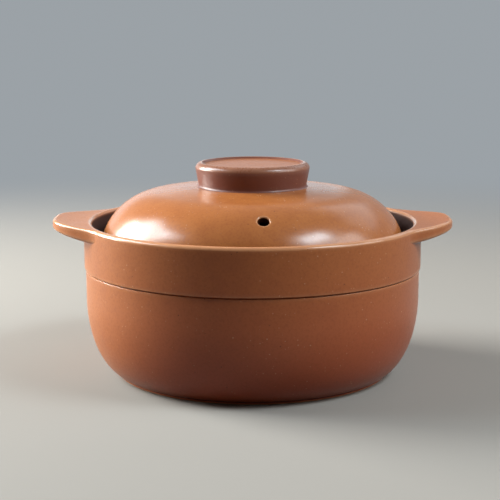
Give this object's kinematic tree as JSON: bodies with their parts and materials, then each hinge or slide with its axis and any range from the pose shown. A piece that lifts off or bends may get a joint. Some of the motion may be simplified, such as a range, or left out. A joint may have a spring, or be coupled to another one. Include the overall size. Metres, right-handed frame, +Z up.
{
  "type": "casserole pot",
  "caption": "Round stoneware casserole with a belly that curves in to a foot ring, ears at the rim, and a domed lid with a knob and steam vent that lifts out of a gallery.",
  "frame": {"origin": "middle of the foot ring, on the surface that the pot stands on", "axes": "+X through the right ear, -Y the front with the steam vent, +Z up through the knob"},
  "size_m": [0.2504, 0.212, 0.1326],
  "materials": {
    "pot_glaze": "satin",
    "lid_glaze": "satin"
  },
  "bodies": {
    "pot": {"pot_body": "pot_glaze", "ear_left": "pot_glaze", "ear_right": "pot_glaze"},
    "lid": {"lid_dome": "lid_glaze", "lid_knob": "lid_glaze"}
  },
  "joints": [
    {"name": "lid_lift", "type": "slide", "parent": "pot", "child": "lid", "axis": [0, 0, 1], "range_m": [0, 0.15]}
  ]
}
